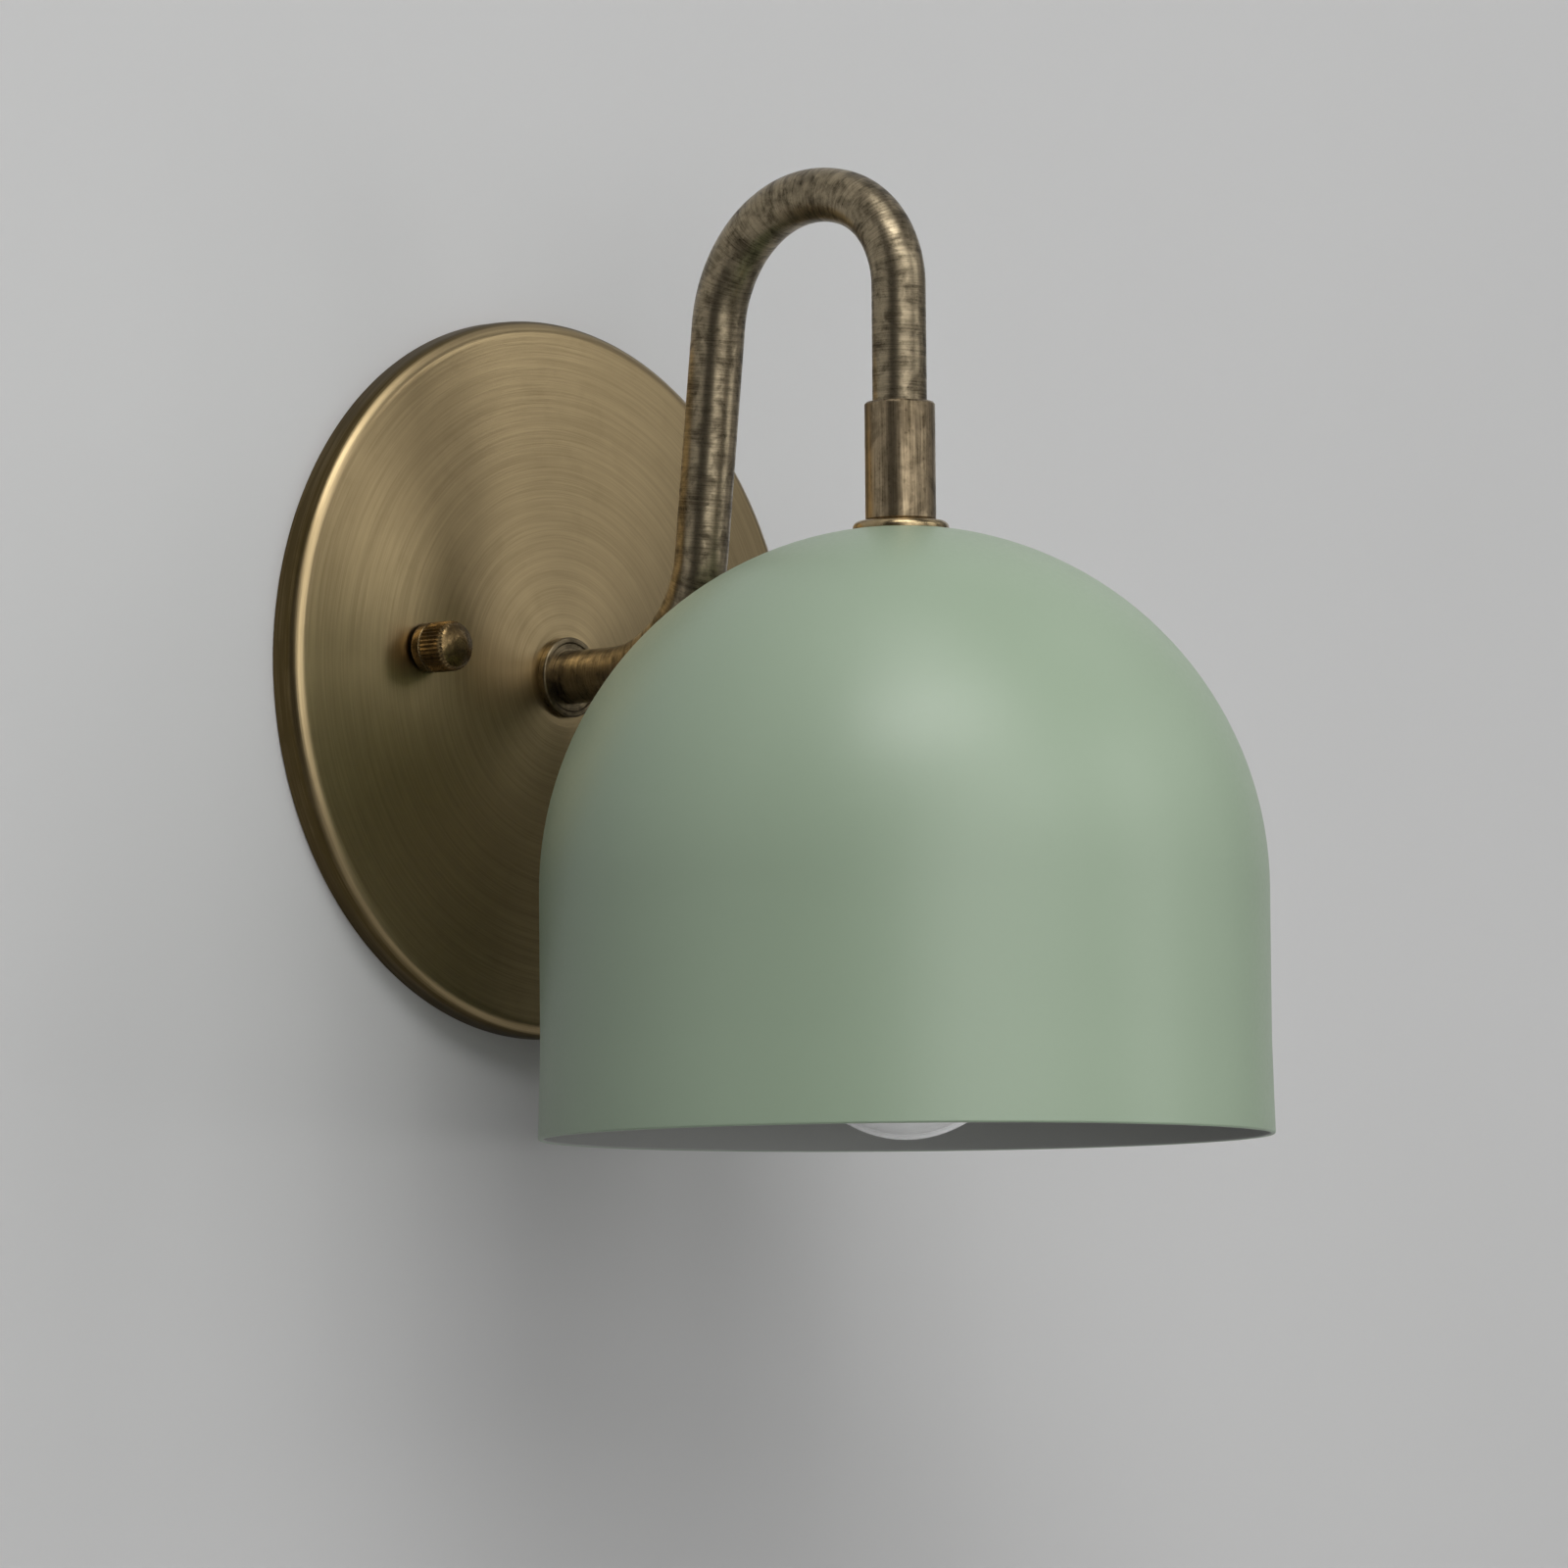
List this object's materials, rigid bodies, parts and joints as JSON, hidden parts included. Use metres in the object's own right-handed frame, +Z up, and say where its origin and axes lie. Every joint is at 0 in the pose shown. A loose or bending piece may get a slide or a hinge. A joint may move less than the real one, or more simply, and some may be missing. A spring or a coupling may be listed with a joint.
{
  "type": "gooseneck wall sconce",
  "caption": "Wall light with a dished round back plate, a bent tube gooseneck arm and a dome shade that hangs open downwards over a screw-in bulb.",
  "frame": {"origin": "centre of the back plate on the wall plane, midway between the two wall box screws", "axes": "+Y points into the wall, the lamp stands out along -Y, +Z is up and +X is to the right of someone who faces the wall"},
  "size_m": [0.133, 0.1593, 0.1767],
  "materials": {
    "plate_brass": "brushed antique brass, lacquered, satin",
    "aged_brass": "dark aged brass with brush lines",
    "bright_brass": "polished aged brass",
    "sage_paint": "satin sage green outside, satin white inside",
    "zinc_steel": "zinc plated steel",
    "brass_stud": "plain machined brass",
    "green_screw": "green dyed steel",
    "tinned_lug": "tinned copper sheet",
    "cap_metal": "nickel plated spun cap",
    "porcelain": "glazed white porcelain",
    "shell_metal": "plain rolled aluminium",
    "contact_brass": "bright contact brass",
    "wire_black": "black insulation, bare copper end",
    "wire_white": "white insulation, bare copper end",
    "wire_green": "green insulation, bare copper end",
    "clear_glass": "clear blown glass",
    "bulb_metal": "nickel plated screw cap",
    "black_glass": "black vitreous insulator",
    "solder": "dull solder",
    "filament_coat": "pale yellow phosphor coat",
    "lead_metal": "nickel wire"
  },
  "bodies": {
    "root": {"back_plate": "plate_brass", "crossbar": "zinc_steel", "canopy_studs": "brass_stud", "stud_lock_nuts": "zinc_steel", "ground_screw": "green_screw", "ground_lug": "tinned_lug", "wire_ground": "wire_green", "arm_seat_ring": "aged_brass", "arm_lock_washer": "zinc_steel", "arm_lock_nut": "zinc_steel", "arm_tube": "aged_brass", "coupling": "aged_brass", "threaded_nipple": "zinc_steel", "shade_flange": "bright_brass", "shade": "sage_paint", "shade_washer": "zinc_steel", "shade_lock_nut": "zinc_steel", "socket_cap": "cap_metal", "socket_set_screw": "brass_stud", "socket_body": "porcelain", "socket_screw_shell": "shell_metal", "socket_contact": "contact_brass", "socket_terminals": "contact_brass", "wire_live": "wire_black", "wire_neutral": "wire_white"},
    "cap_nut_left": {"cap_nut_left": "aged_brass"},
    "cap_nut_right": {"cap_nut_right": "aged_brass"},
    "bulb": {"bulb_glass": "clear_glass", "bulb_cap": "bulb_metal", "bulb_insulator": "black_glass", "bulb_tip": "solder", "bulb_stem": "clear_glass", "bulb_filaments": "filament_coat", "bulb_lead_wires": "lead_metal"}
  },
  "joints": [
    {"name": "cap_nut_left_turn", "type": "hinge", "parent": "root", "child": "cap_nut_left", "pos_m": [-0.03473, -0.012, 0.00365], "axis": [0, -1, 0], "continuous": true},
    {"name": "cap_nut_right_turn", "type": "hinge", "parent": "root", "child": "cap_nut_right", "pos_m": [0.03473, -0.012, -0.00365], "axis": [0, -1, 0], "continuous": true},
    {"name": "bulb_out", "type": "slide", "parent": "root", "child": "bulb", "axis": [0, 0, -1], "range_m": [0, 0.03]}
  ]
}
